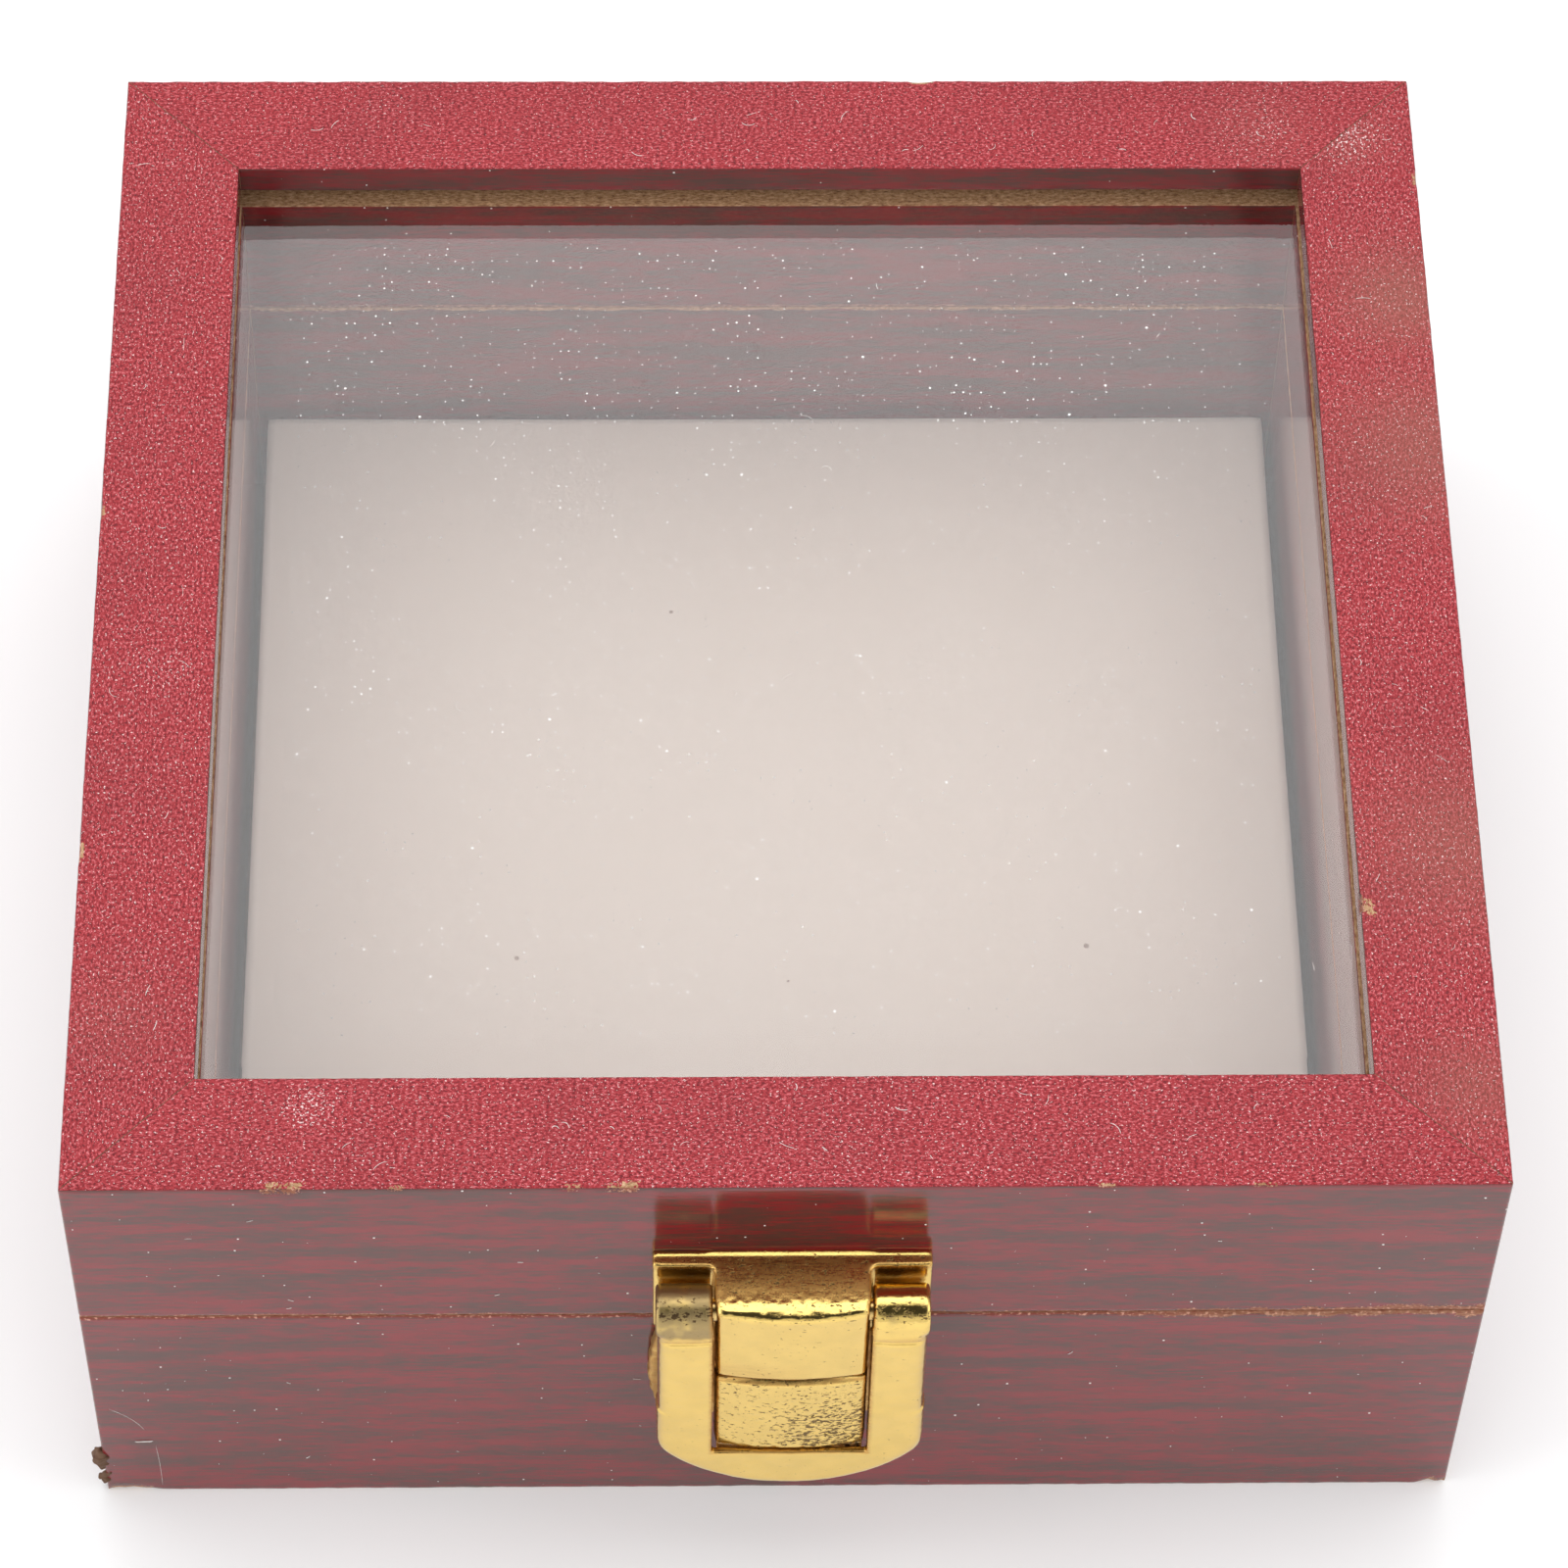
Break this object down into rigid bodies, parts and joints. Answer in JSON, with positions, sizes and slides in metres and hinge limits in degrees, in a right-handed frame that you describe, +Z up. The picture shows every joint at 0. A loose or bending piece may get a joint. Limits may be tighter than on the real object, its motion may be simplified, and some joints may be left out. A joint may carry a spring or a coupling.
{
  "type": "coin display tray",
  "caption": "Small square hinged display box with a glazed lid, a pale pad inside and a cast hasp latch on its front.",
  "frame": {"origin": "middle of the flat underside that the box rests on", "axes": "+Z up, +X to the right when facing the latch, -Y out of the front face that carries the latch"},
  "size_m": [0.1, 0.1088, 0.0442],
  "materials": {
    "red_film_board": "glossy printed wood-grain film in red over fibreboard, dusty, with tan chips",
    "bottom_board": "plain hardboard",
    "pad_cover": "off-white smooth pad",
    "pane_glass": "clear float glass with dust and fine scratches",
    "latch_gold": "polished gold plating on a pitted casting",
    "hinge_brass": "polished brass plating"
  },
  "bodies": {
    "tray": {"base_front_wall": "red_film_board", "base_back_wall": "red_film_board", "base_left_wall": "red_film_board", "base_right_wall": "red_film_board", "bottom_panel": "bottom_board", "display_pad": "pad_cover", "latch_striker": "latch_gold", "striker_pins": "latch_gold", "hinge_base_leaf_left": "hinge_brass", "hinge_base_leaf_right": "hinge_brass", "hinge_pin_left": "hinge_brass", "hinge_pin_right": "hinge_brass", "hinge_base_screws": "hinge_brass"},
    "lid": {"lid_front_rail": "red_film_board", "lid_back_rail": "red_film_board", "lid_left_rail": "red_film_board", "lid_right_rail": "red_film_board", "glass_pane": "pane_glass", "latch_keeper": "latch_gold", "keeper_pins": "latch_gold", "hasp_pivot_pin": "latch_gold", "hinge_lid_leaf_left": "hinge_brass", "hinge_lid_leaf_right": "hinge_brass", "hinge_lid_screws": "hinge_brass"},
    "hasp": {"hasp_lever": "latch_gold"}
  },
  "joints": [
    {"name": "lid_hinge", "type": "hinge", "parent": "tray", "child": "lid", "pos_m": [0, 0.05175, 0.0264], "axis": [-1, 0, 0], "range_deg": [0, 105]},
    {"name": "hasp_swing", "type": "hinge", "parent": "lid", "child": "hasp", "pos_m": [0.0005, -0.0535, 0.0334], "axis": [-1, 0, 0], "range_deg": [0, 175]}
  ]
}
